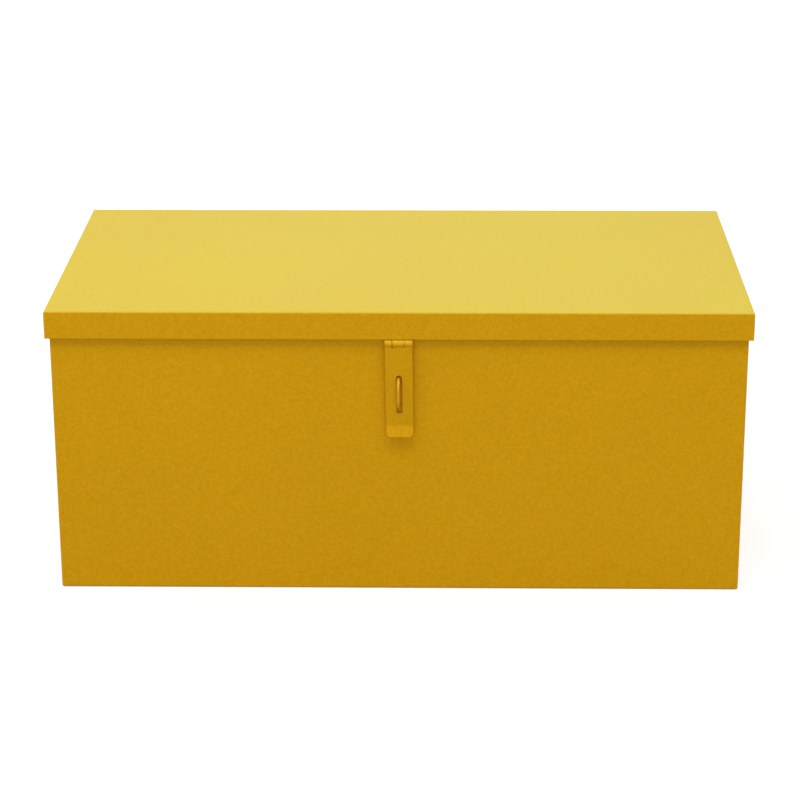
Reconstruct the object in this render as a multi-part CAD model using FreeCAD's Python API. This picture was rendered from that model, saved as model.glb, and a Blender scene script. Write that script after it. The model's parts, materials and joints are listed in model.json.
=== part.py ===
"""Jobsite storage box of painted sheet steel, in millimetres.

The origin is the middle of the underside. X runs along the box, the front faces -Y and Z is up.
"""
import FreeCAD
import Part
import math
import os

Vector = FreeCAD.Vector

# Box shell: a bent wrap of front, floor and back, closed by two end panels
body_length = 762.0
body_depth = 406.4
body_height = 327.0
sheet = 1.5
wrap_inside_bend = 1.5
ground_corner_radius = 4.0
end_flange = 18.0
end_inside_bend = 1.0
hem_depth = 14.0
hem_end_gap = 0.5
rim_round = 0.9
rim_round_share = 0.8

# Lid: a pan whose lips lap over the body on all four sides
lid_lip = 31.0
lid_inside_bend = 0.5

# Stiffener: a hat channel under the lid
stiffener_bracket_room = 10.0
stiffener_depth = 12.0
stiffener_crown = 30.0
stiffener_flange = 15.0
stiffener_sheet = 1.2

# Continuous hinge along the back, below the rear lip
hinge_end_room = 31.0
hinge_knuckle_pitch = 25.4
hinge_leaf_sheet = 1.5
hinge_body_leaf_height = 26.0
hinge_lid_leaf_top_room = 7.0
hinge_pin_diameter = 3.2
hinge_pin_head = 1.2
hinge_pin_head_spread = 0.9

# Hasp: a fixed leaf behind the front lip and a slotted strap
hasp_width = 30.0
hasp_leaf_sheet = 1.8
hasp_leaf_top_room = 7.5
hasp_middle_knuckle = 13.0
strap_sheet = 2.3
strap_set_back = 0.7
strap_below_slot = 14.25
strap_tip_length = 12.9
strap_tip_kick_deg = 20.0
strap_tip_corner = 4.5
strap_hang_deg = 2.46
hasp_pin_diameter = 3.2
slot_side_room = 1.6
slot_room_above = 2.95
slot_room_below = 8.25

# Staple: a bent rod through the front wall and a backing plate
staple_rod = 3.5
staple_height = 34.0
staple_bend_radius = 11.0
staple_bend_limit = 0.48
staple_drop = 55.75
staple_stands_off_strap = 16.0
staple_leg_end = 1.5
backing_width = 32.0
backing_margin = 13.0
backing_sheet = 3.0

# Drop handles, one on each end
handle_height = 205.0
handle_plate_sheet = 2.0
handle_plate_corner = 4.5
handle_plate_margin = 2.5
handle_leg_room = 2.0
handle_grip = 110.0
handle_drop = 50.0
handle_rod = 8.0
handle_bend_radius = 9.0
handle_end_bend_radius = 6.5
handle_sleeve_wall = 2.0
handle_sleeve_length = 20.0
handle_sleeve_room = 2.0
handle_rivet_room = 2.45
rivet_diameter = 5.0
rivet_head = 9.0
rivet_head_height = 2.2
head_round_share = 0.7

# Lid stays: slotted arms that hang from the lid and run on studs in the end panels
lid_open_deg = 110.0
stay_floor_room = 50.0
stay_lid_room = 7.0
stay_arm_width = 16.0
stay_arm_sheet = 2.0
stay_end_wall_gap = 6.0
stay_stud_diameter = 6.0
stay_pivot_diameter = 6.0
stay_head = 12.0
stay_head_height = 2.0
stay_spacer = 10.0
bracket_sheet = 2.0
bracket_flange = 22.0
bracket_width = 26.0
bracket_tab_margin = 3.0

# Clearances
pin_clearance = 0.05
rivet_clearance = 0.05
hinge_wall_clearance = 0.3
knuckle_clearance = 0.4
hasp_leaf_wall_clearance = 1.7
hasp_knuckle_wall_clearance = 2.0
stay_slide_clearance = 0.2

# How close two places and two directions are to count as one
same_place = 1e-4
same_direction_deg = 2.5

# Levels and planes that follow from the sizes above
half_length = body_length / 2
half_depth = body_depth / 2
lid_gap = hasp_leaf_sheet + hasp_leaf_wall_clearance
lid_half_length = half_length + lid_gap + sheet
lid_half_depth = half_depth + lid_gap + sheet
lid_underside = body_height
lid_top = lid_underside + sheet
lip_bottom = lid_top - lid_lip
floor_top = sheet
rim_fillet = min(rim_round, rim_round_share * sheet)

hinge_radius = hinge_pin_diameter / 2 + pin_clearance + hinge_leaf_sheet
hinge_y = half_depth + hinge_wall_clearance + hinge_radius
hinge_z = lip_bottom - knuckle_clearance - hinge_radius
hinge_length = body_length - 2 * hinge_end_room

hasp_radius = hasp_pin_diameter / 2 + pin_clearance + strap_sheet
hasp_y = -half_depth - hasp_knuckle_wall_clearance - hasp_radius
hasp_z = lip_bottom - knuckle_clearance - hasp_radius
strap_front = hasp_y - hasp_radius + strap_set_back
strap_back = strap_front + strap_sheet
strap_top = hasp_z - hasp_radius - knuckle_clearance

staple_z = hasp_z - staple_drop
slot_width = staple_rod + 2 * slot_side_room
slot_top = staple_z + staple_height / 2 + slot_room_above
slot_bottom = staple_z - staple_height / 2 - slot_room_below
strap_bend_z = slot_bottom - strap_below_slot

# The strap's weight lies in front of its pin, so it hangs with its foot swung in towards the wall
strap_hang = math.radians(strap_hang_deg)
strap_front_at_staple = (
    hasp_y - (hasp_y - strap_front) / math.cos(strap_hang) + staple_drop * math.tan(strap_hang))

handle_plate_face = half_length + handle_plate_sheet
handle_sleeve_radius = handle_rod / 2 + pin_clearance + handle_sleeve_wall
handle_x = handle_plate_face + handle_sleeve_radius
handle_rivet_z = handle_sleeve_radius + handle_rivet_room + rivet_head / 2
handle_plate_half_height = handle_rivet_z + rivet_head / 2 + handle_plate_margin
handle_plate_half_width = handle_grip / 2 - handle_rod / 2 - handle_leg_room
handle_rivet_y = handle_plate_half_width - handle_plate_margin - rivet_head / 2
handle_sleeve_outer = handle_grip / 2 - handle_end_bend_radius - handle_sleeve_room
handle_sleeve_inner = handle_sleeve_outer - handle_sleeve_length

# The lid pivot and the stud lie the same way above and below the hinge, at one distance from it, so the
# arm's line always passes over the stud while the arm turns by half the lid's angle
stay_pivot_z = lid_underside - stay_lid_room - stay_arm_width / 2
stay_offset = stay_pivot_z - hinge_z
stay_end = stay_arm_width / 2 + stay_stud_diameter / 2
stay_reach = stay_pivot_z - floor_top - stay_floor_room - stay_end
half_open = math.radians(lid_open_deg) / 2
stay_distance = (stay_reach - 2 * stay_offset * math.cos(half_open)) / (2 * math.sin(half_open))
stay_y = hinge_y - stay_distance
stud_z = hinge_z - stay_offset
stay_outer_x = half_length - sheet - stay_end_wall_gap
stay_inner_x = stay_outer_x - stay_arm_sheet
bracket_face_x = stay_inner_x - stay_slide_clearance
bracket_tab_radius = stay_head / 2 + bracket_tab_margin


def block(x0, x1, y0, y1, z0, z1):
    return Part.makeBox(x1 - x0, y1 - y0, z1 - z0, Vector(x0, y0, z0))


def rod_x(radius, x0, x1, y, z):
    return Part.makeCylinder(radius, x1 - x0, Vector(x0, y, z), Vector(1, 0, 0))


def rod_y(radius, y0, y1, x, z):
    return Part.makeCylinder(radius, y1 - y0, Vector(x, y0, z), Vector(0, 1, 0))


def joined(shapes):
    """One solid from shapes that meet or overlap."""
    return shapes[0].multiFuse(shapes[1:]).removeSplitter()


def rounded(shape, radius, chosen):
    """The shape with a fillet on each straight edge whose middle and direction are chosen."""
    edges = []
    for edge in shape.Edges:
        straight = not edge.Degenerated and edge.Curve.TypeId == "Part::GeomLine"
        if straight and chosen(edge.CenterOfMass, edge.tangentAt(edge.FirstParameter)):
            edges.append(edge)
    return shape.makeFillet(radius, edges)


def near(a, b):
    return abs(a - b) < same_place


def along(direction, axis):
    return abs(direction.dot(axis)) > math.cos(math.radians(same_direction_deg))


def mirrored(shape):
    return shape.mirror(Vector(0, 0, 0), Vector(1, 0, 0))


def bent_rod(points, bend_radius, rod_radius):
    """A round rod along straight runs, with a tangent arc at each corner. One radius for each corner."""
    edges = []
    start = points[0]
    for before, corner, after, radius in zip(points, points[1:], points[2:], bend_radius):
        into = (corner - before).normalize()
        out = (after - corner).normalize()
        turn = into.getAngle(out)
        setback = radius * math.tan(turn / 2)
        arc_start = corner - into * setback
        arc_end = corner + out * setback
        inward = (out - into).normalize()
        middle = corner + inward * (radius / math.cos(turn / 2) - radius)
        edges.append(Part.LineSegment(start, arc_start).toShape())
        edges.append(Part.Arc(arc_start, middle, arc_end).toShape())
        start = arc_end
    edges.append(Part.LineSegment(start, points[-1]).toShape())
    section = Part.Wire([Part.Circle(points[0], points[1] - points[0], rod_radius).toShape()])
    return Part.Wire(edges).makePipeShell([section], True, False)


def headed_rivet(shank_radius, head_radius, head_height, x_in, x_out, y, z):
    """A rivet along X with a rounded head beyond each end of its shank."""
    shank = rod_x(shank_radius, x_in, x_out, y, z)
    outer = rod_x(head_radius, x_out, x_out + head_height, y, z)
    inner = rod_x(head_radius, x_in - head_height, x_in, y, z)
    soft = head_round_share * head_height
    outer = outer.makeFillet(soft, [e for e in outer.Edges if near(e.BoundBox.XMin, x_out + head_height)])
    inner = inner.makeFillet(soft, [e for e in inner.Edges if near(e.BoundBox.XMax, x_in - head_height)])
    return joined([shank, outer, inner])


def body_wrap():
    """Front wall, floor and back wall in one sheet, with hemmed top edges and ground lower corners."""
    outer = block(-half_length, half_length, -half_depth, half_depth, 0, body_height)
    outer_radius = wrap_inside_bend + sheet
    outer = rounded(outer, outer_radius, lambda p, d: near(p.z, 0) and along(d, Vector(1, 0, 0)))
    inner_half = half_depth - sheet
    reach = half_length + sheet
    inner = block(-reach, reach, -inner_half, inner_half, floor_top, body_height + sheet)
    inner = rounded(inner, wrap_inside_bend, lambda p, d: near(p.z, floor_top) and along(d, Vector(1, 0, 0)))
    hem_half = half_length - end_flange - hem_end_gap
    hem_bottom = body_height - hem_depth
    front_hem = block(-hem_half, hem_half, -inner_half, -inner_half + sheet, hem_bottom, body_height)
    back_hem = block(-hem_half, hem_half, inner_half - sheet, inner_half, hem_bottom, body_height)
    shell = joined([outer.cut(inner), front_hem, back_hem])
    outline = block(-half_length, half_length, -half_depth, half_depth, 0, body_height)
    outline = rounded(
        outline, ground_corner_radius, lambda p, d: near(p.z, 0) and along(d, Vector(0, 1, 0)))
    shell = shell.common(outline)
    shell = rounded(
        shell, rim_fillet,
        lambda p, d: near(p.z, body_height) and along(d, Vector(1, 0, 0))
        and (near(abs(p.y), half_depth) or near(abs(p.y), inner_half - sheet)))
    for leg_z in staple_leg_heights():
        shell = shell.cut(rod_y(staple_rod / 2 + rivet_clearance, -half_depth, -inner_half, 0, leg_z))
    return shell


def end_panel():
    """The right end wall: a sheet with flanges folded inwards at the front, back and floor, and a hem."""
    outside = half_length
    outer_half = half_depth - sheet
    low = floor_top

    def folds(x_face, y_half, z_low):
        def chosen(p, d):
            on_face = near(p.x, x_face) and (near(abs(p.y), y_half) or near(p.z, z_low))
            corner = along(d, Vector(1, 0, 0)) and near(abs(p.y), y_half) and near(p.z, z_low)
            return on_face or corner
        return chosen

    outer = block(outside - end_flange, outside, -outer_half, outer_half, low, body_height)
    outer = rounded(outer, end_inside_bend + sheet, folds(outside, outer_half, low))
    inner_half = outer_half - sheet
    inner_low = low + sheet
    inner = block(
        outside - end_flange - sheet, outside - sheet, -inner_half, inner_half,
        inner_low, body_height + sheet)
    inner = rounded(inner, end_inside_bend, folds(outside - sheet, inner_half, inner_low))
    hem_half = inner_half - hem_end_gap
    hem = block(
        outside - 2 * sheet, outside - sheet, -hem_half, hem_half, body_height - hem_depth, body_height)
    panel = joined([outer.cut(inner), hem])
    panel = rounded(
        panel, rim_fillet,
        lambda p, d: near(p.z, body_height) and along(d, Vector(0, 1, 0)) and near(p.x, outside - 2 * sheet))
    holes = [rod_x(rivet_diameter / 2 + rivet_clearance, outside - sheet, outside, y, z)
             for y, z in handle_rivet_places()]
    holes.append(rod_x(stay_stud_diameter / 2 + rivet_clearance, outside - sheet, outside, stay_y, stud_z))
    return panel.cut(holes[0].multiFuse(holes[1:]))


def lid_pan():
    """The lid's top and four lips, folded from one sheet with welded corners."""
    def folds(x_half, y_half, z_top):
        def chosen(p, d):
            top_edge = near(p.z, z_top)
            corner = near(abs(p.x), x_half) and near(abs(p.y), y_half)
            return top_edge or corner
        return chosen

    outer = block(-lid_half_length, lid_half_length, -lid_half_depth, lid_half_depth, lip_bottom, lid_top)
    outer = rounded(outer, lid_inside_bend + sheet, folds(lid_half_length, lid_half_depth, lid_top))
    x_in = lid_half_length - sheet
    y_in = lid_half_depth - sheet
    inner = block(-x_in, x_in, -y_in, y_in, lip_bottom - sheet, lid_underside)
    inner = rounded(inner, lid_inside_bend, folds(x_in, y_in, lid_underside))
    return outer.cut(inner)


def lid_stiffener():
    """A hat channel, its two flanges welded to the lid's underside."""
    length = bracket_face_x - bracket_flange - stiffener_bracket_room
    half_crown = stiffener_crown / 2
    low = lid_underside - stiffener_depth
    t = stiffener_sheet
    outer = block(-length, length, -half_crown, half_crown, low, lid_underside)
    hollow = block(-length, length, -half_crown + t, half_crown - t, low + t, lid_underside)
    flanges = []
    for side in (-1, 1):
        edges = sorted((side * half_crown, side * (half_crown + stiffener_flange)))
        flanges.append(block(-length, length, edges[0], edges[1], lid_underside - t, lid_underside))
    return joined([outer.cut(hollow)] + flanges)


def knuckles(first, plate_y0, plate_y1, plate_edge):
    """Every second knuckle of the back hinge from the first one, each with its tab to the leaf."""
    count = 2 * int(hinge_length / hinge_knuckle_pitch / 2) + 1
    pitch = hinge_length / count
    pieces = []
    for index in range(first, count, 2):
        x0 = -hinge_length / 2 + index * pitch + knuckle_clearance / 2
        x1 = x0 + pitch - knuckle_clearance
        pieces.append(rod_x(hinge_radius, x0, x1, hinge_y, hinge_z))
        low, high = sorted((plate_edge, hinge_z))
        pieces.append(block(x0, x1, plate_y0, plate_y1, low, high))
    return pieces


def hinge_leaf_with(plate, first, plate_y0, plate_y1, plate_edge):
    leaf = joined([plate] + knuckles(first, plate_y0, plate_y1, plate_edge))
    bore = rod_x(hinge_pin_diameter / 2 + pin_clearance, -hinge_length, hinge_length, hinge_y, hinge_z)
    return leaf.cut(bore)


def hinge_body_leaf():
    """The hinge leaf on the back wall, running down from the barrel."""
    edge = hinge_z - hinge_radius - knuckle_clearance
    y0 = half_depth
    y1 = half_depth + hinge_leaf_sheet
    plate = block(-hinge_length / 2, hinge_length / 2, y0, y1, edge - hinge_body_leaf_height, edge)
    return hinge_leaf_with(plate, 0, y0, y1, edge)


def hinge_lid_leaf():
    """The hinge leaf inside the rear lip, running up from the barrel."""
    edge = lip_bottom
    y1 = lid_half_depth - sheet
    y0 = y1 - hinge_leaf_sheet
    top = lid_underside - hinge_lid_leaf_top_room
    plate = block(-hinge_length / 2, hinge_length / 2, y0, y1, edge, top)
    return hinge_leaf_with(plate, 1, y0, y1, edge)


def hinge_pin():
    """The long pin, its ends peened over."""
    half = hinge_length / 2
    shank = rod_x(hinge_pin_diameter / 2, -half, half, hinge_y, hinge_z)
    head_radius = hinge_pin_diameter / 2 + hinge_pin_head_spread
    heads = [rod_x(head_radius, half, half + hinge_pin_head, hinge_y, hinge_z),
             rod_x(head_radius, -half - hinge_pin_head, -half, hinge_y, hinge_z)]
    return joined([shank] + heads)


def hasp_leaf():
    """The hasp's fixed leaf, welded behind the front lip, with the middle knuckle below the lip."""
    y0 = -lid_half_depth + sheet
    y1 = y0 + hasp_leaf_sheet
    half = hasp_width / 2
    knuckle_half = hasp_middle_knuckle / 2
    plate = block(-half, half, y0, y1, lip_bottom, lid_underside - hasp_leaf_top_room)
    tab = block(-knuckle_half, knuckle_half, y0, y1, hasp_z, lip_bottom)
    knuckle = rod_x(hasp_radius, -knuckle_half, knuckle_half, hasp_y, hasp_z)
    leaf = joined([plate, tab, knuckle])
    return leaf.cut(rod_x(hasp_pin_diameter / 2 + pin_clearance, -half, half, hasp_y, hasp_z))


def hasp_strap():
    """The slotted strap with two rolled knuckles and a tip kicked out as a finger lift."""
    half = hasp_width / 2
    inner = hasp_middle_knuckle / 2 + knuckle_clearance
    pieces = [block(-half, half, strap_front, strap_back, strap_bend_z, strap_top)]
    for x0, x1 in ((-half, -inner), (inner, half)):
        pieces.append(rod_x(hasp_radius, x0, x1, hasp_y, hasp_z))
        pieces.append(block(x0, x1, strap_front, strap_back, strap_top, hasp_z))
    tip_low = strap_bend_z - strap_tip_length
    tip = block(-half, half, strap_front, strap_back, tip_low, strap_bend_z)
    tip = rounded(tip, strap_tip_corner, lambda p, d: near(p.z, tip_low) and along(d, Vector(0, 1, 0)))
    tip.rotate(Vector(0, strap_back, strap_bend_z), Vector(-1, 0, 0), strap_tip_kick_deg)
    strap = joined(pieces + [tip])
    bore = rod_x(hasp_pin_diameter / 2 + pin_clearance, -half, half, hasp_y, hasp_z)
    slot_radius = slot_width / 2
    slot_low = slot_bottom + slot_radius
    slot_high = slot_top - slot_radius
    slot = joined([
        block(-slot_radius, slot_radius, strap_front, strap_back, slot_low, slot_high),
        rod_y(slot_radius, strap_front, strap_back, 0, slot_low),
        rod_y(slot_radius, strap_front, strap_back, 0, slot_high)])
    strap = strap.cut(bore).cut(slot)
    strap.rotate(Vector(0, hasp_y, hasp_z), Vector(1, 0, 0), strap_hang_deg)
    return strap


def hasp_pin():
    half = hasp_width / 2
    return rod_x(hasp_pin_diameter / 2, -half, half, hasp_y, hasp_z)


def staple_leg_heights():
    offset = (staple_height - staple_rod) / 2
    return staple_z - offset, staple_z + offset


def lock_staple():
    """The padlock loop: a rod bent to a D, its legs through the wall and the backing plate."""
    low, high = staple_leg_heights()
    inside = -half_depth + sheet + backing_sheet + staple_leg_end
    outside = strap_front_at_staple - staple_stands_off_strap + staple_rod / 2
    points = [Vector(0, inside, high), Vector(0, outside, high),
              Vector(0, outside, low), Vector(0, inside, low)]
    bend = min(staple_bend_radius, staple_bend_limit * (high - low))
    return bent_rod(points, (bend, bend), staple_rod / 2)


def staple_backing_plate():
    y0 = -half_depth + sheet
    half_height = staple_height / 2 + backing_margin
    plate = block(
        -backing_width / 2, backing_width / 2, y0, y0 + backing_sheet,
        staple_z - half_height, staple_z + half_height)
    for leg_z in staple_leg_heights():
        plate = plate.cut(rod_y(staple_rod / 2 + rivet_clearance, y0, y0 + backing_sheet, 0, leg_z))
    return plate


def handle_rivet_places():
    return [(sy * handle_rivet_y, handle_height + sz * handle_rivet_z) for sy in (-1, 1) for sz in (-1, 1)]


def handle_plate():
    """The right handle's plate with its two sleeves for the bail's ends."""
    low = handle_height - handle_plate_half_height
    high = handle_height + handle_plate_half_height
    plate = block(
        half_length, handle_plate_face, -handle_plate_half_width, handle_plate_half_width, low, high)
    plate = rounded(plate, handle_plate_corner, lambda p, d: along(d, Vector(1, 0, 0)))
    bore_radius = handle_rod / 2 + pin_clearance
    foot_low = handle_height - handle_sleeve_radius
    foot_high = handle_height + handle_sleeve_radius
    pieces = [plate]
    bores = []
    for y0, y1 in ((-handle_sleeve_outer, -handle_sleeve_inner), (handle_sleeve_inner, handle_sleeve_outer)):
        pieces.append(rod_y(handle_sleeve_radius, y0, y1, handle_x, handle_height))
        pieces.append(block(handle_plate_face, handle_x, y0, y1, foot_low, foot_high))
        bores.append(rod_y(bore_radius, y0, y1, handle_x, handle_height))
    for y, z in handle_rivet_places():
        bores.append(rod_x(rivet_diameter / 2 + rivet_clearance, half_length, handle_plate_face, y, z))
    return joined(pieces).cut(bores[0].multiFuse(bores[1:]))


def handle_bail():
    """The right handle's bent rod, hanging down, its ends turned in to the sleeves."""
    half = handle_grip / 2
    end = handle_sleeve_inner
    low = handle_height - handle_drop
    points = [Vector(handle_x, end, handle_height), Vector(handle_x, half, handle_height),
              Vector(handle_x, half, low), Vector(handle_x, -half, low),
              Vector(handle_x, -half, handle_height), Vector(handle_x, -end, handle_height)]
    bends = (handle_end_bend_radius, handle_bend_radius, handle_bend_radius, handle_end_bend_radius)
    return bent_rod(points, bends, handle_rod / 2)


def handle_rivets():
    return Part.makeCompound([
        headed_rivet(
            rivet_diameter / 2, rivet_head / 2, rivet_head_height,
            half_length - sheet, handle_plate_face, y, z)
        for y, z in handle_rivet_places()])


def stay_arm():
    """The right stay: a flat arm hanging from the lid, with a slot that runs on the stud."""
    r = stay_arm_width / 2
    x0, x1 = stay_inner_x, stay_outer_x
    foot = stay_pivot_z - stay_reach - stay_stud_diameter / 2
    arm = joined([
        block(x0, x1, stay_y - r, stay_y + r, foot, stay_pivot_z),
        rod_x(r, x0, x1, stay_y, stay_pivot_z),
        rod_x(r, x0, x1, stay_y, foot)])
    slot_r = stay_stud_diameter / 2 + stay_slide_clearance
    slot_high = stud_z
    slot_low = stay_pivot_z - stay_reach
    slot = joined([
        block(x0, x1, stay_y - slot_r, stay_y + slot_r, slot_low, slot_high),
        rod_x(slot_r, x0, x1, stay_y, slot_low),
        rod_x(slot_r, x0, x1, stay_y, slot_high)])
    hole = rod_x(stay_pivot_diameter / 2 + pin_clearance, x0, x1, stay_y, stay_pivot_z)
    return arm.cut(slot).cut(hole)


def stay_bracket():
    """The right stay's bent bracket, its flange welded under the lid and its tab beside the arm."""
    x1 = bracket_face_x
    x0 = x1 - bracket_sheet
    half = bracket_width / 2
    flange = block(
        x1 - bracket_flange, x1, stay_y - half, stay_y + half, lid_underside - bracket_sheet, lid_underside)
    tab = block(x0, x1, stay_y - bracket_tab_radius, stay_y + bracket_tab_radius, stay_pivot_z, lid_underside)
    tab_end = rod_x(bracket_tab_radius, x0, x1, stay_y, stay_pivot_z)
    bracket = joined([flange, tab, tab_end])
    return bracket.cut(rod_x(stay_pivot_diameter / 2 + rivet_clearance, x0, x1, stay_y, stay_pivot_z))


def stay_pivot():
    """The rivet that joins the right arm to its bracket and lets it turn."""
    x_in = bracket_face_x - bracket_sheet
    x_out = stay_outer_x + stay_slide_clearance
    return headed_rivet(
        stay_pivot_diameter / 2, stay_head / 2, stay_head_height, x_in, x_out, stay_y, stay_pivot_z)


def stay_stud():
    """The right shouldered stud, riveted through the end panel, that the arm's slot runs on."""
    wall = half_length - sheet
    neck = headed_rivet(
        stay_stud_diameter / 2, stay_head / 2, stay_head_height,
        stay_inner_x - stay_slide_clearance, half_length, stay_y, stud_z)
    spacer = rod_x(stay_spacer / 2, stay_outer_x + stay_slide_clearance, wall, stay_y, stud_z)
    return joined([neck, spacer])


right_pieces = {
    "end_panel": end_panel,
    "handle_plate": handle_plate,
    "handle_bail": handle_bail,
    "handle_rivets": handle_rivets,
    "stay_arm": stay_arm,
    "stay_bracket": stay_bracket,
    "stay_pivot": stay_pivot,
    "stay_stud": stay_stud,
}
pieces = {
    "body_wrap": body_wrap(),
    "lid_pan": lid_pan(),
    "lid_stiffener": lid_stiffener(),
    "hinge_body_leaf": hinge_body_leaf(),
    "hinge_lid_leaf": hinge_lid_leaf(),
    "hinge_pin": hinge_pin(),
    "hasp_leaf": hasp_leaf(),
    "hasp_strap": hasp_strap(),
    "hasp_pin": hasp_pin(),
    "lock_staple": lock_staple(),
    "staple_backing_plate": staple_backing_plate(),
}
for name, make in right_pieces.items():
    right = make()
    pieces["right_" + name] = right
    pieces["left_" + name] = mirrored(right)

os.makedirs("parts", exist_ok=True)
for name, shape in pieces.items():
    shape.exportStep("parts/" + name + ".step")
    print(name, len(shape.Solids), "solids, valid", shape.isValid(), round(shape.Volume / 1000, 2), "cm3")
print("hinge axis y", round(hinge_y, 3), "z", round(hinge_z, 3))
print("hasp axis y", round(hasp_y, 3), "z", round(hasp_z, 3))
print("handle axis x", round(handle_x, 3), "z", round(handle_height, 3))
print("stay pivot x", round(stay_inner_x, 3), "y", round(stay_y, 3), "z", round(stay_pivot_z, 3))
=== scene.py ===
"""Jobsite storage box of yellow powder-coated sheet steel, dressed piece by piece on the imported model.

Metres throughout. The origin is the middle of the underside, the front faces -Y and Z is up.
"""
import json
import math

import bmesh
import bpy
from mathutils import Matrix, Vector


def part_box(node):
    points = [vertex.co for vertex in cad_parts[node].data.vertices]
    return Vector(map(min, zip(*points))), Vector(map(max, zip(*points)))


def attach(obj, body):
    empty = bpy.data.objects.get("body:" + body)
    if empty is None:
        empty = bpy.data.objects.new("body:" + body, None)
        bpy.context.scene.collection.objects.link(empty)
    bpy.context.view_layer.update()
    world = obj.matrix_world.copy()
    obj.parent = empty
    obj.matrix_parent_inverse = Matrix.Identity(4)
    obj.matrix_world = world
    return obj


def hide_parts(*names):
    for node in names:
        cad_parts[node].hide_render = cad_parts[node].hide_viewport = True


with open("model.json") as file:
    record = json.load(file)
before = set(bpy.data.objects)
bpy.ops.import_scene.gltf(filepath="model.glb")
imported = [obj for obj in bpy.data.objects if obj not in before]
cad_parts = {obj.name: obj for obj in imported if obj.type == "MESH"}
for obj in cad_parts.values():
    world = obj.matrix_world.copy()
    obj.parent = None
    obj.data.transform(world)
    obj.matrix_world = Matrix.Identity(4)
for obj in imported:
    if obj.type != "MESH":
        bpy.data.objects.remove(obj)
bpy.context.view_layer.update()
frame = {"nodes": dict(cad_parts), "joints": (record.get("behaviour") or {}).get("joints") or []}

# Body wrap: the front wall, floor and back wall are one sheet of mild steel, folded twice in a press brake.
# The rim is hemmed inwards so that it isn't sharp, the lower corners are ground round, and the whole
# box is powder coated yellow inside and out after welding.
sheet = 0.0015
half_sheet = sheet / 2
wrap_inside_bend = 0.0015
wrap_bend = wrap_inside_bend + half_sheet
bend_steps = 5
hem_depth = 0.014
hem_slit = 0.0002
hem_steps = 6
wrap_hem_half = 0.3625
ground_corner = 0.004
sheet_edge = 0.00025
same_place = 1e-5
square = 0.9
quarter_turn = math.pi / 2
smooth_angle = math.radians(35)
flat_angle = math.radians(0.5)
flat_weight = 80
paint_deep = (0.66, 0.327, 0.0022, 1)
paint_light = (0.765, 0.396, 0.0048, 1)
# The paler lemon of the painted sheen, laid on faces that look up in place of light falling from above.
sheen_painted_deep = (0.671, 0.511, 0.036, 1)
sheen_painted_light = (0.751, 0.575, 0.044, 1)
primer_grey = (0.23, 0.215, 0.20, 1)
wrap_low, wrap_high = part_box("body_wrap")


def near(a, b):
    """Whether two lengths are the same but for rounding."""
    return abs(a - b) < same_place


def settle(name):
    """Names the primitive just added, puts its place into its mesh and opens it in edit mode."""
    piece = bpy.context.object
    piece.name = name
    piece.data.name = name
    bpy.ops.object.transform_apply(location=True, rotation=True, scale=True)
    bpy.ops.object.mode_set(mode="EDIT")
    bpy.ops.mesh.select_all(action="DESELECT")
    return piece


def start_block(name, low, high):
    """A cube primitive between two corners."""
    bpy.ops.object.select_all(action="DESELECT")
    bpy.ops.mesh.primitive_cube_add(size=1, location=(low + high) / 2)
    bpy.context.object.scale = high - low
    return settle(name)


def pick(piece, kind, wanted):
    """Selects faces by middle and normal, edges by middle and run, or corners by place."""
    bpy.ops.mesh.select_mode(type=kind)
    bpy.ops.mesh.select_all(action="DESELECT")
    cage = bmesh.from_edit_mesh(piece.data)
    if kind == "FACE":
        found = [f for f in cage.faces if wanted(f.calc_center_median(), f.normal)]
    elif kind == "EDGE":
        ends = [(e, e.verts[0].co, e.verts[1].co) for e in cage.edges]
        found = [e for e, a, b in ends if wanted((a + b) / 2, (b - a).normalized())]
    else:
        found = [v for v in cage.verts if wanted(v.co)]
    for item in found:
        item.select_set(True)
    bmesh.update_edit_mesh(piece.data)


def cut_line(point, normal, clear_outer=False):
    """Scores the whole mesh along a plane, or cuts off what lies beyond it."""
    bpy.ops.mesh.select_all(action="SELECT")
    bpy.ops.mesh.bisect(plane_co=point, plane_no=normal, clear_outer=clear_outer)


def pull(x, y, z):
    """Extrudes what is selected."""
    bpy.ops.mesh.extrude_region_move(TRANSFORM_OT_translate={"value": (x, y, z)})


def finish_with(piece, kind, **settings):
    """Adds a modifier to a piece and applies it."""
    bpy.context.view_layer.objects.active = piece
    modifier = piece.modifiers.new(kind.lower(), kind)
    for key, value in settings.items():
        setattr(modifier, key, value)
    bpy.ops.object.modifier_apply(modifier=modifier.name)


def thicken(piece, thickness):
    """Closes the mesh's seams and gives the sheet its thickness, half to each side."""
    bpy.ops.mesh.select_all(action="SELECT")
    bpy.ops.mesh.remove_doubles(threshold=same_place / 2)
    bpy.ops.mesh.normals_make_consistent(inside=False)
    bpy.ops.object.mode_set(mode="OBJECT")
    finish_with(piece, "SOLIDIFY", thickness=thickness, offset=0, use_even_offset=True)


def carve(piece, cutter, operation="DIFFERENCE"):
    """Cuts a piece with another solid, which is then thrown away."""
    finish_with(piece, "BOOLEAN", object=cutter, operation=operation, solver="EXACT")
    bpy.data.objects.remove(cutter)


def soften(piece, width, segments=2):
    """Merges flat faces, rolls every sharp edge a little and evens the shading of the flats."""
    bpy.context.view_layer.objects.active = piece
    bpy.ops.object.mode_set(mode="EDIT")
    bpy.ops.mesh.select_all(action="SELECT")
    bpy.ops.mesh.dissolve_limited(angle_limit=flat_angle)
    bpy.ops.object.mode_set(mode="OBJECT")
    finish_with(
        piece, "BEVEL", width=width, segments=segments, limit_method="ANGLE", angle_limit=smooth_angle)
    even_shading(piece)


def choose(piece):
    """Makes a piece the active one and the only one selected."""
    bpy.ops.object.select_all(action="DESELECT")
    piece.select_set(True)
    bpy.context.view_layer.objects.active = piece


def even_shading(piece):
    """Smooth shading that leaves the large flats flat."""
    choose(piece)
    bpy.ops.object.shade_smooth()
    finish_with(piece, "WEIGHTED_NORMAL", weight=flat_weight)


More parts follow.
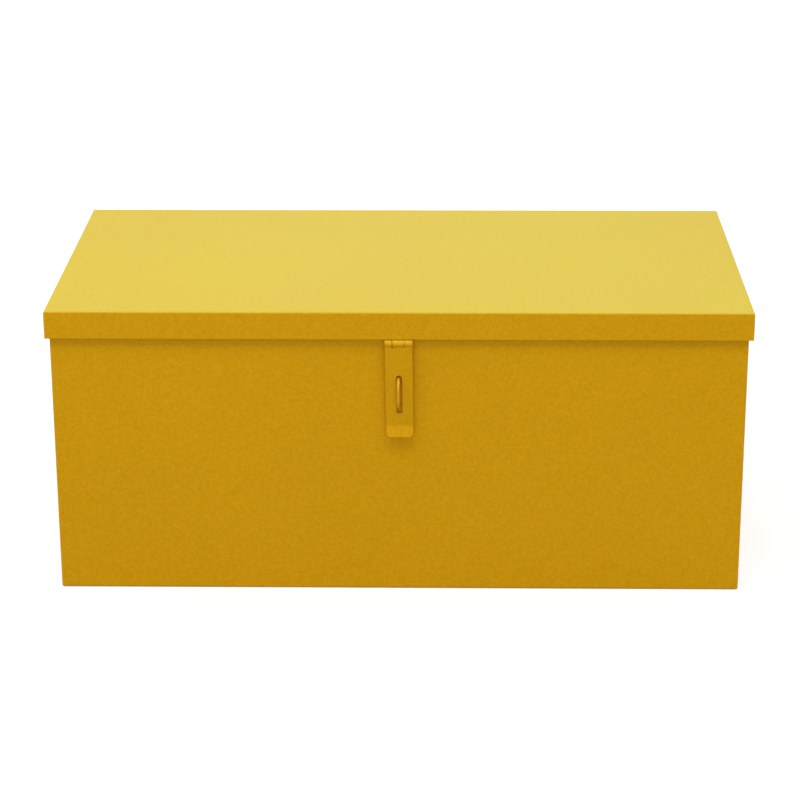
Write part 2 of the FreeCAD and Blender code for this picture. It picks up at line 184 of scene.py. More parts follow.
def place(piece, body, finish, slot, *nodes):
    """Gives a finished piece its material and its body, and lets it stand for its CAD nodes."""
    piece.data.materials.clear()
    piece.data.materials.append(finish)
    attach(piece, body)
    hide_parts(*nodes)


def add_node(tree, kind, values=(), **settings):
    """A shader node with its settings and its unlinked socket values."""
    made = tree.nodes.new("ShaderNode" + kind)
    for key, value in settings.items():
        setattr(made, key, value)
    for key, value in dict(values).items():
        made.inputs[key].default_value = value
    return made


def new_group(name, inputs, outputs):
    """An empty shader node group with number inputs and number outputs."""
    group = bpy.data.node_groups.new(name, "ShaderNodeTree")
    for label, value in inputs.items():
        socket = group.interface.new_socket(label, in_out="INPUT", socket_type="NodeSocketFloat")
        socket.default_value = value
    for label in outputs:
        group.interface.new_socket(label, in_out="OUTPUT", socket_type="NodeSocketFloat")
    return group, group.nodes.new("NodeGroupInput").outputs, group.nodes.new("NodeGroupOutput").inputs


def feed(tree, value, socket):
    """Links a socket to another one, or gives it a number or a colour."""
    if isinstance(value, bpy.types.NodeSocket):
        tree.links.new(value, socket)
    else:
        socket.default_value = value


def noise(tree, point, scale, detail, roughness=0.5):
    """The value of a noise texture at a point."""
    made = add_node(tree, "TexNoise", {"Detail": detail, "Roughness": roughness})
    feed(tree, scale, made.inputs["Scale"])
    tree.links.new(point, made.inputs["Vector"])
    return made.outputs["Fac"]


def mathed(tree, operation, a, b=0.0, clamp=False):
    """A math node on two sockets or numbers."""
    made = add_node(tree, "Math", operation=operation, use_clamp=clamp)
    feed(tree, a, made.inputs[0])
    feed(tree, b, made.inputs[1])
    return made.outputs[0]


def ranged(tree, value, low, high, to_low=0.0, to_high=1.0):
    """A smooth step from one range to another."""
    made = add_node(
        tree, "MapRange", {"From Min": low, "From Max": high, "To Min": to_low, "To Max": to_high},
        interpolation_type="SMOOTHSTEP")
    tree.links.new(value, made.inputs["Value"])
    return made.outputs["Result"]


def mixed(tree, share, a, b):
    """A colour between two colours or colour sockets."""
    made = add_node(tree, "Mix", data_type="RGBA")
    tree.links.new(share, made.inputs[0])
    feed(tree, a, made.inputs[6])
    feed(tree, b, made.inputs[7])
    return made.outputs[2]


def new_material(name):
    """A material, its node tree and its shader."""
    material = bpy.data.materials.new(name)
    material.use_nodes = True
    return material, material.node_tree, material.node_tree.nodes["Principled BSDF"]


def roughen(tree, shader, height, strength, depth):
    """Bumps a shader's surface by a height."""
    bump = add_node(tree, "Bump", {"Strength": strength, "Distance": depth})
    tree.links.new(height, bump.inputs["Height"])
    tree.links.new(bump.outputs["Normal"], shader.inputs["Normal"])


def place_group(tree, group, **values):
    """Puts a shared effect into a material, with its own values."""
    made = tree.nodes.new("ShaderNodeGroup")
    made.node_tree = group
    for key, value in values.items():
        made.inputs[key].default_value = value
    return made.outputs


# The coat's skin: orange peel a few millimetres across, a fine grain on it, a mottle in its tone, and slow
# clouds in the film's thickness
peel_scale = 350.0
grain_scale = 1700.0
grain_share = 0.22
cloud_scale = 4.0
cloud_band = (0.3, 0.7)
mottle_scale = 430.0
mottle_band = (0.25, 0.75)
coat_skin, skin_in, skin_out = new_group(
    "coat_skin", {"peel_scale": peel_scale}, ("height", "cloud", "mottle"))
skin_point = add_node(coat_skin, "TexCoord").outputs["Object"]
peel = noise(coat_skin, skin_point, skin_in["peel_scale"], detail=1.0, roughness=0.4)
grain = mathed(coat_skin, "MULTIPLY", noise(coat_skin, skin_point, grain_scale, detail=1.0), grain_share)
cloud = ranged(coat_skin, noise(coat_skin, skin_point, cloud_scale, detail=3.0), *cloud_band)
mottle = ranged(coat_skin, noise(coat_skin, skin_point, mottle_scale, detail=2.0), *mottle_band)
coat_skin.links.new(mathed(coat_skin, "ADD", peel, grain), skin_out["height"])
coat_skin.links.new(cloud, skin_out["cloud"])
coat_skin.links.new(mottle, skin_out["mottle"])

# Rubbed edges: the coat is thin where a surface turns sharply, and wears off there in patches. An edge is
# found by how far the rounded normal turns from the true one
rub_width = 0.0006
rub_starts = 0.995
rub_full = 0.93
rub_sharpness = 14.0
rubbed_edge, rub_in, rub_out = new_group(
    "rubbed_edge", {"radius": rub_width, "patch_scale": 160.0, "cover": 0.6}, ("mask",))
rub_round = add_node(rubbed_edge, "Bevel", samples=4)
rubbed_edge.links.new(rub_in["radius"], rub_round.inputs["Radius"])
rub_turn = add_node(rubbed_edge, "VectorMath", operation="DOT_PRODUCT")
rubbed_edge.links.new(rub_round.outputs["Normal"], rub_turn.inputs[0])
rubbed_edge.links.new(add_node(rubbed_edge, "NewGeometry").outputs["Normal"], rub_turn.inputs[1])
rub_edge = ranged(rubbed_edge, rub_turn.outputs["Value"], rub_starts, rub_full)
rub_point = add_node(rubbed_edge, "TexCoord").outputs["Object"]
rub_patch = noise(rubbed_edge, rub_point, rub_in["patch_scale"], detail=3.0, roughness=0.6)
rub_gap = mathed(rubbed_edge, "SUBTRACT", rub_patch, rub_in["cover"])
rub_spots = mathed(rubbed_edge, "MULTIPLY", rub_gap, rub_sharpness, clamp=True)
rubbed_edge.links.new(mathed(rubbed_edge, "MULTIPLY", rub_edge, rub_spots), rub_out["mask"])

# Painted sheen: paint that faces up is laid a paler lemon, as light from above shows it, a little unevenly
sky_cloud_scale = 2.2
sky_cloud_band = (0.25, 0.75)
sky_least = 0.86
sky_starts = 0.3
sky_full = 0.98
painted_sheen_side, sky_in, sky_out = new_group("painted_sheen_side", {"strength": 1.0}, ("mask",))
sky_coords = add_node(painted_sheen_side, "TexCoord").outputs
sky_normal = add_node(painted_sheen_side, "SeparateXYZ")
painted_sheen_side.links.new(sky_coords["Normal"], sky_normal.inputs[0])
sky_noise = noise(painted_sheen_side, sky_coords["Object"], sky_cloud_scale, detail=2.0)
sky_clouds = ranged(painted_sheen_side, sky_noise, *sky_cloud_band, sky_least, 1.0)
sky_tilt = ranged(painted_sheen_side, sky_normal.outputs["Z"], sky_starts, sky_full)
sky_up = mathed(painted_sheen_side, "MULTIPLY", sky_tilt, sky_clouds)
painted_sheen_side.links.new(mathed(painted_sheen_side, "MULTIPLY", sky_up, sky_in["strength"]), sky_out["mask"])

cloud_share = 0.14
mottle_share = 0.86
dullness_spread = 0.03
peel_strength = 1.0
peel_depth = 0.0002


def powder_coat(name, rub_cover, rub_radius=rub_width, painted_sheen_share=0.0, shine=0.07, dullness=0.4):
    """Satin yellow powder coat over grey primed steel, which shows where the coat has worn off, with a
    painted sheen on faces that look up where asked for.
    """
    material, tree, shader = new_material(name)
    shader.inputs["Specular IOR Level"].default_value = shine
    skin = place_group(tree, coat_skin)
    rub = place_group(tree, rubbed_edge, radius=rub_radius, cover=rub_cover)
    clouds = mathed(tree, "MULTIPLY", skin["cloud"], cloud_share)
    tone = mathed(tree, "ADD", clouds, mathed(tree, "MULTIPLY", skin["mottle"], mottle_share))
    colour = mixed(tree, tone, paint_deep, paint_light)
    # A painted sheen: faces that look up get a paler lemon, as light from above shows it.
    if painted_sheen_share:
        sheen_painted = mixed(tree, tone, sheen_painted_deep, sheen_painted_light)
        colour = mixed(tree, place_group(tree, painted_sheen_side, strength=painted_sheen_share)["mask"], colour, sheen_painted)
    tree.links.new(mixed(tree, rub["mask"], colour, primer_grey), shader.inputs["Base Color"])
    dull = ranged(tree, skin["cloud"], 0.0, 1.0, dullness, dullness + dullness_spread)
    tree.links.new(dull, shader.inputs["Roughness"])
    roughen(tree, shader, skin["height"], peel_strength, peel_depth)
    return material


def fold_hem(piece, edges, centre, axis, turn, drop):
    """Folds the picked top edges over on themselves and runs them down inside the wall."""
    pick(piece, "EDGE", edges)
    bpy.ops.mesh.spin(steps=hem_steps, angle=turn, center=centre, axis=axis)
    pull(0, 0, -drop)


body_paint = powder_coat("body_paint", rub_cover=0.64)
rim_z = wrap_high.z
hem_bend_z = rim_z - sheet - hem_slit / 2
hem_radius = half_sheet + hem_slit / 2
wall_y = wrap_high.y - half_sheet
floor_z = wrap_low.z + half_sheet
wrap = start_block(
    "body_wrap_sheet", Vector((wrap_low.x, -wall_y, floor_z)), Vector((wrap_high.x, wall_y, rim_z)))
pick(wrap, "FACE", lambda p, n: abs(n.x) > square or n.z > square)
bpy.ops.mesh.delete(type="FACE")
for hem_end in (-wrap_hem_half, wrap_hem_half):
    cut_line((hem_end, 0, 0), (1, 0, 0))
cut_line((0, 0, hem_bend_z), (0, 0, 1))
pick(wrap, "FACE", lambda p, n: p.z > hem_bend_z and abs(p.x) < wrap_hem_half)
bpy.ops.mesh.delete(type="FACE")
for side in (-1, 1):
    fold_hem(
        wrap,
        lambda p, d: near(p.z, hem_bend_z) and near(p.y, side * wall_y) and abs(p.x) < wrap_hem_half,
        (0, side * (wall_y - hem_radius), hem_bend_z), (1, 0, 0), -side * math.pi,
        hem_bend_z - rim_z + hem_depth)
pick(wrap, "EDGE", lambda p, d: near(p.z, floor_z) and near(abs(p.y), wall_y) and abs(d.x) > square)
bpy.ops.mesh.bevel(offset=wrap_bend, segments=bend_steps, affect="EDGES")
for side in (-1, 1):
    corner_middle = Vector((side * (wrap_high.x - ground_corner), 0, ground_corner))
    for step in range(1, bend_steps):
        turn = quarter_turn * step / bend_steps
        outwards = Vector((side * math.cos(turn), 0, -math.sin(turn)))
        cut_line(corner_middle + ground_corner * outwards, outwards, clear_outer=True)
thicken(wrap, sheet)
soften(wrap, sheet_edge)
place(wrap, "box", body_paint, "body_paint", "body_wrap")

# End panels: each end wall is a shallow pan of the same sheet, with flanges folded inwards on three sides.
# The flanges are welded into the wrap along their seams, and the top edge is hemmed like the wrap's.
panel_inside_bend = 0.001
panel_bend = panel_inside_bend + half_sheet
panel_hem_half = 0.1985
panel_low, panel_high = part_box("right_end_panel")


def mirrored_copy(piece, name):
    """The same piece for the left side of the box, with a mesh of its own."""
    choose(piece)
    bpy.ops.object.duplicate()
    twin = bpy.context.object
    twin.name = name
    twin.data.name = name
    twin.scale.x = -1
    bpy.ops.object.transform_apply(location=False, rotation=False, scale=True)
    bpy.ops.object.mode_set(mode="EDIT")
    bpy.ops.mesh.select_all(action="SELECT")
    bpy.ops.mesh.normals_make_consistent(inside=False)
    bpy.ops.object.mode_set(mode="OBJECT")
    even_shading(twin)
    return twin


def place_pair(right, name, bodies, finish, slot, node):
    """Places a right-hand piece and its mirrored twin for a pair of like CAD nodes."""
    left = mirrored_copy(right, "left_" + name)
    place(right, bodies[1], finish, slot, "right_" + node)
    place(left, bodies[0], finish, slot, "left_" + node)


panel_x = panel_high.x - half_sheet
panel_y = panel_high.y - half_sheet
panel_z = panel_low.z + half_sheet
panel = start_block(
    "right_end_panel_sheet", Vector((panel_low.x, -panel_y, panel_z)), Vector((panel_x, panel_y, rim_z)))
pick(panel, "FACE", lambda p, n: n.x < -square or n.z > square)
bpy.ops.mesh.delete(type="FACE")
for hem_end in (-panel_hem_half, panel_hem_half):
    cut_line((0, hem_end, 0), (0, 1, 0))
cut_line((0, 0, hem_bend_z), (0, 0, 1))
pick(panel, "FACE", lambda p, n: p.z > hem_bend_z and abs(p.y) < panel_hem_half)
bpy.ops.mesh.delete(type="FACE")
fold_hem(
    panel, lambda p, d: near(p.z, hem_bend_z) and near(p.x, panel_x) and abs(p.y) < panel_hem_half,
    (panel_x - hem_radius, 0, hem_bend_z), (0, 1, 0), math.pi, hem_bend_z - rim_z + hem_depth)
pick(panel, "EDGE", lambda p, d: (near(p.x, panel_x) and (near(abs(p.y), panel_y) or near(p.z, panel_z)))
     or (near(abs(p.y), panel_y) and near(p.z, panel_z)))
bpy.ops.mesh.bevel(offset=panel_bend, segments=bend_steps, affect="EDGES")
thicken(panel, sheet)
soften(panel, sheet_edge)
place_pair(panel, "end_panel_sheet", ("box", "box"), body_paint, "body_paint", "end_panel")

# Lid pan: one sheet with a lip folded down on all four sides, lapping over the body to shed rain.
# The lips' corners are welded and ground flush before painting, and the top carries a painted sheen, paler
# lemon as light from above shows it.
lid_inside_bend = 0.0005
lid_bend = lid_inside_bend + half_sheet
lid_edge = 0.0005
# The lid's paint lays the full painted sheen on its top.
lid_paint = powder_coat("lid_paint", rub_cover=0.64, painted_sheen_share=1.0)
lid_low, lid_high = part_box("lid_pan")
lid_x = lid_high.x - half_sheet
lid_y = lid_high.y - half_sheet
lid_z = lid_high.z - half_sheet - same_place
lid = start_block("lid_pan_sheet", Vector((-lid_x, -lid_y, lid_low.z)), Vector((lid_x, lid_y, lid_z)))
pick(lid, "FACE", lambda p, n: n.z < -square)
bpy.ops.mesh.delete(type="FACE")
pick(lid, "EDGE", lambda p, d: near(p.z, lid_z))
bpy.ops.mesh.bevel(offset=lid_bend, segments=bend_steps, affect="EDGES")
thicken(lid, sheet)
soften(lid, lid_edge)
place(lid, "lid", lid_paint, "lid_paint", "lid_pan")

# Lid stiffener: a hat channel folded from thin steel sheet, which keeps the lid's top from drumming.
# Its flanges are spot welded under the middle of the lid, and each weld leaves a shallow round dimple.
stiffener_sheet = 0.0012
stiffener_bend = 0.0016
stiffener_half_crown = 0.015
spot_pitch = 0.058
spot_count = 11
spot_radius = 0.0035
spot_depth = 0.0003
spot_sides = 20
spot_tool = 0.002
stiffener_low, stiffener_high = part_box("lid_stiffener")


def repeat(piece, count, step):
    """Makes a piece a row of itself, a step apart."""
    finish_with(
        piece, "ARRAY", count=count, use_relative_offset=False, use_constant_offset=True,
        constant_offset_displace=step)


crown_y = stiffener_half_crown - stiffener_sheet / 2
crown_z = stiffener_low.z + stiffener_sheet / 2
flange_z = stiffener_high.z - stiffener_sheet / 2
stiffener = start_block(
    "lid_stiffener_channel", Vector((stiffener_low.x, -crown_y, crown_z)),
    Vector((stiffener_high.x, crown_y, flange_z)))
pick(stiffener, "FACE", lambda p, n: abs(n.x) > square or n.z > square)
bpy.ops.mesh.delete(type="FACE")
for side in (-1, 1):
    pick(stiffener, "EDGE", lambda p, d: near(p.z, flange_z) and near(p.y, side * crown_y))
    pull(0, side * (stiffener_high.y - crown_y), 0)
pick(stiffener, "EDGE", lambda p, d: near(abs(p.y), crown_y) and abs(d.x) > square)
bpy.ops.mesh.bevel(offset=stiffener_bend, segments=bend_steps, affect="EDGES")
thicken(stiffener, stiffener_sheet)
soften(stiffener, sheet_edge)
spot_y = (stiffener_half_crown + stiffener_high.y) / 2
spot_z = stiffener_high.z - stiffener_sheet + spot_depth - spot_tool / 2
for side in (-1, 1):
    bpy.ops.object.select_all(action="DESELECT")
    bpy.ops.mesh.primitive_cylinder_add(
        vertices=spot_sides, radius=spot_radius, depth=spot_tool,
        location=(-spot_pitch * (spot_count - 1) / 2, side * spot_y, spot_z))
    spot = bpy.context.object
    repeat(spot, spot_count, (spot_pitch, 0, 0))
    carve(stiffener, spot)
bpy.ops.object.shade_smooth_by_angle(angle=smooth_angle)
place(stiffener, "lid", lid_paint, "lid_paint", "lid_stiffener")

# Continuous hinge: two strips of steel sheet whose cut tabs are rolled by turns round one long pin.
# The lower leaf is welded to the back wall, the upper one sits inside the rear lip, and each roll ends
# in a narrow slit beside its own leaf.
hinge_sheet = 0.0015
hinge_knuckles = 27
hinge_gap = 0.0004
hinge_bore = 0.00163
hinge_edge = 0.0002
roll_turn = math.radians(322)
roll_steps = 20
hinge_paint = powder_coat("hinge_paint", rub_cover=0.58)
body_leaf_low, body_leaf_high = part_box("hinge_body_leaf")
lid_leaf_low, lid_leaf_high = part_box("hinge_lid_leaf")


def joint_place(name):
    """The point that a joint turns about."""
    return next(joint["pos_m"] for joint in frame["joints"] if joint["name"] == name)


def start_sheet(name, low, high):
    """A plane primitive between two corners that have the same Y, or else the same Z."""
    size = high - low
    upright = near(size.y, 0)
    bpy.ops.object.select_all(action="DESELECT")
    bpy.ops.mesh.primitive_plane_add(
        size=1, location=(low + high) / 2, rotation=(quarter_turn if upright else 0, 0, 0))
    bpy.context.object.scale = (size.x, size.z if upright else size.y, 1)
    return settle(name)


def roll_knuckles(piece, spans, edge_z, tab, axis_y, axis_z, turn, lead=None):
    """Cuts tabs along a leaf's edge, pulls them to the barrel and rolls them round the pin.

    A lead bend, where one is given, joggles the tabs just before the roll.
    """
    for x in {round(x, 6) for span in spans for x in span}:
        cut_line((x, 0, 0), (1, 0, 0))
    pick(piece, "EDGE", lambda p, d: near(p.z, edge_z) and any(a < p.x < b for a, b in spans))
    pull(0, *tab)
    if lead:
        bpy.ops.mesh.spin(steps=bend_steps, axis=(1, 0, 0), **lead)
    bpy.ops.mesh.spin(steps=roll_steps, angle=turn, center=(0, axis_y, axis_z), axis=(1, 0, 0))


hinge_y, hinge_z = joint_place("lid_hinge")[1:]
knuckle_pitch = (body_leaf_high.x - body_leaf_low.x) / hinge_knuckles
knuckle_starts = [body_leaf_low.x + i * knuckle_pitch for i in range(hinge_knuckles)]
knuckle_spans = [(x + hinge_gap / 2, x + knuckle_pitch - hinge_gap / 2) for x in knuckle_starts]
roll_radius = hinge_bore + hinge_sheet / 2
barrel_low = hinge_z - hinge_bore - hinge_sheet - hinge_gap
body_leaf_y = body_leaf_low.y + hinge_sheet / 2
body_leaf = start_sheet(
    "hinge_body_leaf_rolled", Vector((body_leaf_low.x, body_leaf_y, body_leaf_low.z)),
    Vector((body_leaf_high.x, body_leaf_y, barrel_low)))
roll_knuckles(
    body_leaf, knuckle_spans[0::2], barrel_low,
    (hinge_y - roll_radius - body_leaf_y, hinge_z - barrel_low),
    hinge_y, hinge_z, roll_turn)
thicken(body_leaf, hinge_sheet)
soften(body_leaf, hinge_edge)
place(body_leaf, "box", hinge_paint, "hinge_paint", "hinge_body_leaf")

lid_leaf_y = lid_high.y - sheet - hinge_sheet / 2
roll_start_z = hinge_z + math.sqrt(roll_radius ** 2 - (hinge_y - lid_leaf_y) ** 2)
lid_leaf = start_sheet(
    "hinge_lid_leaf_rolled", Vector((lid_leaf_low.x, lid_leaf_y, lid_low.z)),
    Vector((lid_leaf_high.x, lid_leaf_y, lid_leaf_high.z)))
roll_knuckles(
    lid_leaf, knuckle_spans[1::2], lid_low.z, (0, roll_start_z - lid_low.z),
    hinge_y, hinge_z, -roll_turn)
thicken(lid_leaf, hinge_sheet)
soften(lid_leaf, hinge_edge)
place(lid_leaf, "lid", hinge_paint, "hinge_paint", "hinge_lid_leaf")

# Hinge pin: one drawn steel wire through all the knuckles, its ends peened over so that it can't walk out.
# It is painted with the box, and only its ends show.


def paint_node(name, finish):
    """Gives a plain CAD piece its finish."""
    node = frame["nodes"][name]
    node.data.materials.clear()
    node.data.materials.append(finish)


paint_node("hinge_pin", hinge_paint)

# Hasp: a slotted strap that hangs on a short pin from a leaf welded behind the front lip.
# Both are thicker sheet than the box, with rolled knuckles, and the strap's tip is kicked out for a finger.
# The strap joggles out to its knuckles, and hangs by its weight, a touch askew on the loose pin.
strap_sheet = 0.0023
hasp_leaf_sheet = 0.0018
hasp_barrel = 0.00395
hasp_middle_half = 0.0065
hasp_gap = 0.0004
notch_gap = 0.0002
notch_left = 0.0076
notch_right = 0.0066
notch_fill_half = 0.0062
strap_kick = math.radians(18)
strap_kick_radius = 0.012
strap_kick_steps = 6
strap_tip = 0.0129
strap_bend_z = 0.1979
strap_set_back = 0.0007
joggle_radius = 0.005
strap_roll_end = math.radians(282)
strap_corner = 0.006
strap_edge = 0.00035
strap_hang = math.radians(2.46)
strap_lean = math.radians(0.6)
strap_shift = 0.0003
slot_low_z = 0.21215
slot_high_z = 0.25735
slot_half = 0.00335
cutter_reach = 0.004
round_steps = 8
# A painted sheen lightens the knuckles' tops and other faces of the hasp that look up.
hasp_paint = powder_coat("hasp_paint", rub_cover=0.68, rub_radius=0.0008, painted_sheen_share=0.7)
hasp_y, hasp_z = joint_place("hasp_swing")[1:]
strap_low, strap_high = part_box("hasp_strap")
leaf_low, leaf_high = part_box("hasp_leaf")


def round_off(block, axis, radius):
    """Rounds the four edges of a block that run along an axis."""
    pick(block, "EDGE", lambda p, d: abs(getattr(d, axis)) > square)
    bpy.ops.mesh.bevel(offset=radius, segments=round_steps, affect="EDGES")
    bpy.ops.object.mode_set(mode="OBJECT")


strap_roll = hasp_barrel - strap_sheet / 2
strap_y = hasp_y - strap_roll + strap_set_back
strap_top_z = hasp_z - hasp_barrel - notch_gap
joggle = math.acos(1 - strap_set_back / (strap_roll + joggle_radius))
joggle_z = hasp_z - (strap_roll + joggle_radius) * math.sin(joggle)
kick_room = strap_kick_radius * math.tan(strap_kick / 2)
strap = start_sheet(
    "hasp_strap_rolled", Vector((strap_low.x, strap_y, strap_bend_z + kick_room)),
    Vector((strap_high.x, strap_y, strap_top_z)))
roll_knuckles(
    strap, [(strap_low.x, -notch_left), (notch_right, strap_high.x)], strap_top_z,
    (0, joggle_z - strap_top_z), hasp_y, hasp_z, strap_roll_end + joggle,
    lead={"angle": -joggle, "center": (0, strap_y - joggle_radius, joggle_z)})
for side in (-1, 1):
    cut_line((side * notch_fill_half, 0, 0), (1, 0, 0))
pick(strap, "EDGE", lambda p, d: near(p.z, strap_top_z) and abs(p.x) < notch_fill_half and abs(d.x) > square)
pull(0, 0, hasp_z - strap_top_z - strap_sheet)
pick(strap, "EDGE", lambda p, d: near(p.z, strap_bend_z + kick_room) and abs(d.x) > square)
bpy.ops.mesh.spin(
    steps=strap_kick_steps, angle=strap_kick, axis=(1, 0, 0),
    center=(0, strap_y - strap_kick_radius, strap_bend_z + kick_room))
tip_run = strap_tip - kick_room
pull(0, -tip_run * math.sin(strap_kick), -tip_run * math.cos(strap_kick))
strap_foot_z = min(v.co.z for v in bmesh.from_edit_mesh(strap.data).verts)
pick(strap, "VERT", lambda p: near(p.z, strap_foot_z) and near(abs(p.x), strap_high.x))
bpy.ops.mesh.bevel(offset=strap_corner, segments=round_steps, affect="VERTICES")
thicken(strap, strap_sheet)
slot = start_block(
    "slot_punch", Vector((-slot_half, strap_y - cutter_reach, slot_low_z)),
    Vector((slot_half, strap_y + cutter_reach, slot_high_z)))
round_off(slot, "y", slot_half - same_place)
carve(strap, slot)
bpy.ops.mesh.primitive_cylinder_add(
    vertices=4 * roll_steps, radius=hasp_barrel + notch_gap, depth=2 * notch_fill_half + hasp_gap,
    location=(0, hasp_y, hasp_z), rotation=(0, quarter_turn, 0))
carve(strap, bpy.context.object)
soften(strap, strap_edge, segments=3)
bpy.ops.object.mode_set(mode="EDIT")
pick(strap, "VERT", lambda p: p.z < strap_top_z - strap_sheet)
bpy.ops.transform.rotate(value=strap_lean, orient_axis="Y", center_override=(0, strap_y, strap_top_z))
bpy.ops.object.mode_set(mode="OBJECT")
hasp_middle = Matrix.Translation((0, hasp_y, hasp_z))
hasp_moved = Matrix.Translation((strap_shift, hasp_y, hasp_z))
strap.matrix_world = hasp_moved @ Matrix.Rotation(strap_hang, 4, "X") @ hasp_middle.inverted()
bpy.ops.object.transform_apply(location=True, rotation=True, scale=True)
place(strap, "hasp", hasp_paint, "hasp_paint", "hasp_strap")

leaf_roll = hasp_barrel - hasp_leaf_sheet / 2
leaf_y = lid_low.y + sheet + hasp_leaf_sheet / 2
leaf = start_sheet(
    "hasp_leaf_rolled", Vector((leaf_low.x, leaf_y, lid_low.z)), Vector((leaf_high.x, leaf_y, leaf_high.z)))
roll_knuckles(
    leaf, [(-hasp_middle_half, hasp_middle_half)], lid_low.z,
    (hasp_y + leaf_roll - leaf_y, hasp_z - lid_low.z), hasp_y, hasp_z, roll_turn)
thicken(leaf, hasp_leaf_sheet)
soften(leaf, strap_edge, segments=3)
place(leaf, "lid", hasp_paint, "hasp_paint", "hasp_leaf")

paint_node("hasp_pin", hasp_paint)

# Padlock staple: a round steel bar bent to a D, its legs put through the front wall and welded to a plate.
# It passes through the strap's slot, and a padlock's shackle goes behind its bar.
staple_radius = 0.00175
staple_bend = 0.011
staple_legs = 0.01525
rod_sides = 20
rod_bend_steps = 10
rod_edge = 0.0004
# A painted sheen lightens the bar's upper bend, a painted highlight where light from above falls.
staple_paint = powder_coat("staple_paint", rub_cover=0.7, painted_sheen_share=0.6, shine=0.4, dullness=0.2)
staple_low, staple_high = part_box("lock_staple")


def draw_rod(name, start, way, radius, moves):
    """A round bar drawn out from a circle by straight pulls, and by quarter bends about a middle in X."""
    bpy.ops.object.select_all(action="DESELECT")
    bpy.ops.mesh.primitive_circle_add(
        vertices=rod_sides, radius=radius, location=start, rotation=way.to_track_quat("Z", "X").to_euler())
    piece = settle(name)
    bpy.ops.mesh.select_all(action="SELECT")
    for run, middle, turn in moves:
        pull(*run)
        if middle:
            bpy.ops.mesh.spin(steps=rod_bend_steps, angle=turn, center=middle, axis=(1, 0, 0))
    bpy.ops.mesh.select_all(action="SELECT")
    bpy.ops.mesh.fill_holes(sides=0)
    bpy.ops.mesh.remove_doubles(threshold=same_place / 2)
    bpy.ops.mesh.normals_make_consistent(inside=False)
    bpy.ops.object.mode_set(mode="OBJECT")
    soften(piece, rod_edge)
    return piece


staple_z = (staple_low.z + staple_high.z) / 2
bar_y = staple_low.y + staple_radius
leg_run = staple_high.y - bar_y - staple_bend
bend_y = bar_y + staple_bend
bar_half = staple_legs - staple_bend
staple = draw_rod(
    "lock_staple_bar", (0, staple_high.y, staple_z + staple_legs), Vector((0, -1, 0)), staple_radius,
    [((0, -leg_run, 0), (0, bend_y, staple_z + bar_half), -quarter_turn),
     ((0, 0, -2 * bar_half), (0, bend_y, staple_z - bar_half), -quarter_turn),
     ((0, leg_run, 0), None, 0)])
place(staple, "box", staple_paint, "hasp_paint", "lock_staple")

# Staple backing plate: a small thick steel plate inside the front wall, which spreads the pull of the lock.
# It is welded to the wall along two edges and painted with the box.
plate_corner = 0.003
plate_edge = 0.0005
backing_low, backing_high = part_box("staple_backing_plate")
backing = start_block("staple_backing_plate_cut", backing_low, backing_high)
round_off(backing, "y", plate_corner)
soften(backing, plate_edge, segments=3)
place(backing, "box", body_paint, "body_paint", "staple_backing_plate")

# Drop handles: on each end a bail of round steel bar hangs in two saddles of bent strip, welded to a plate.
# The plate is riveted to the end panel, and the handle is painted before it is fixed.
saddle_wall = 0.002
saddle_slack = 0.00003
saddle_sunk = saddle_wall / 4
saddle_inner = 0.0265
saddle_outer = 0.0465
handle_corner = 0.0045
handle_edge = 0.0004
bail_radius = 0.004
bail_half = 0.055
bail_drop = 0.05
bail_bend = 0.009
bail_end_bend = 0.0065
handle_paint = powder_coat("handle_paint", rub_cover=0.56, rub_radius=0.0008)
handle_place = joint_place("right_handle_swing")
handle_x = handle_place[0]
handle_z = handle_place[2]
handle_low, handle_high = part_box("right_handle_plate")
plate_face = panel_high.x + saddle_wall
saddle_radius = bail_radius + saddle_wall / 2 + saddle_slack


def joined(name, *pieces):
    """One object from several finished pieces."""
    bpy.ops.object.select_all(action="DESELECT")
    for piece in pieces:
        piece.select_set(True)
    bpy.context.view_layer.objects.active = pieces[0]
    bpy.ops.object.join()
    pieces[0].name = name
    pieces[0].data.name = name
    return pieces[0]


def saddle(y0, y1):
    """A strip bent over the bail, both feet on the plate."""
    foot_x = plate_face - saddle_sunk
    top_z = handle_z + saddle_radius
    piece = start_sheet("saddle", Vector((foot_x, y0, top_z)), Vector((handle_x, y1, top_z)))
    pick(piece, "EDGE", lambda p, d: near(p.x, handle_x))
    bpy.ops.mesh.spin(steps=2 * round_steps, angle=-math.pi, center=(handle_x, 0, handle_z), axis=(0, 1, 0))
    pull(foot_x - handle_x, 0, 0)
    thicken(piece, saddle_wall)
    soften(piece, handle_edge)
    return piece


plate = start_block("plate", handle_low, Vector((plate_face, handle_high.y, handle_high.z)))
round_off(plate, "x", handle_corner)
soften(plate, handle_edge, segments=3)
handle_plate = joined(
    "right_handle_plate_pressing", plate,
    saddle(saddle_inner, saddle_outer), saddle(-saddle_outer, -saddle_inner))
place_pair(
    handle_plate, "handle_plate_pressing", ("box", "box"), handle_paint, "handle_paint", "handle_plate")

end_run = bail_half - bail_end_bend - saddle_inner
leg_drop = bail_drop - bail_end_bend - bail_bend
grip_z = handle_z - bail_drop
end_y = bail_half - bail_end_bend
grip_y = bail_half - bail_bend
bail = draw_rod(
    "right_handle_bail_bar", (handle_x, saddle_inner, handle_z), Vector((0, 1, 0)), bail_radius,
    [((0, end_run, 0), (handle_x, end_y, handle_z - bail_end_bend), quarter_turn),
     ((0, 0, -leg_drop), (handle_x, grip_y, grip_z + bail_bend), quarter_turn),
     ((0, -2 * grip_y, 0), (handle_x, -grip_y, grip_z + bail_bend), quarter_turn),
     ((0, 0, leg_drop), (handle_x, -end_y, handle_z - bail_end_bend), quarter_turn),
     ((0, end_run, 0), None, 0)])
place_pair(
    bail, "handle_bail_bar", ("left_handle", "right_handle"), handle_paint, "handle_paint", "handle_bail")

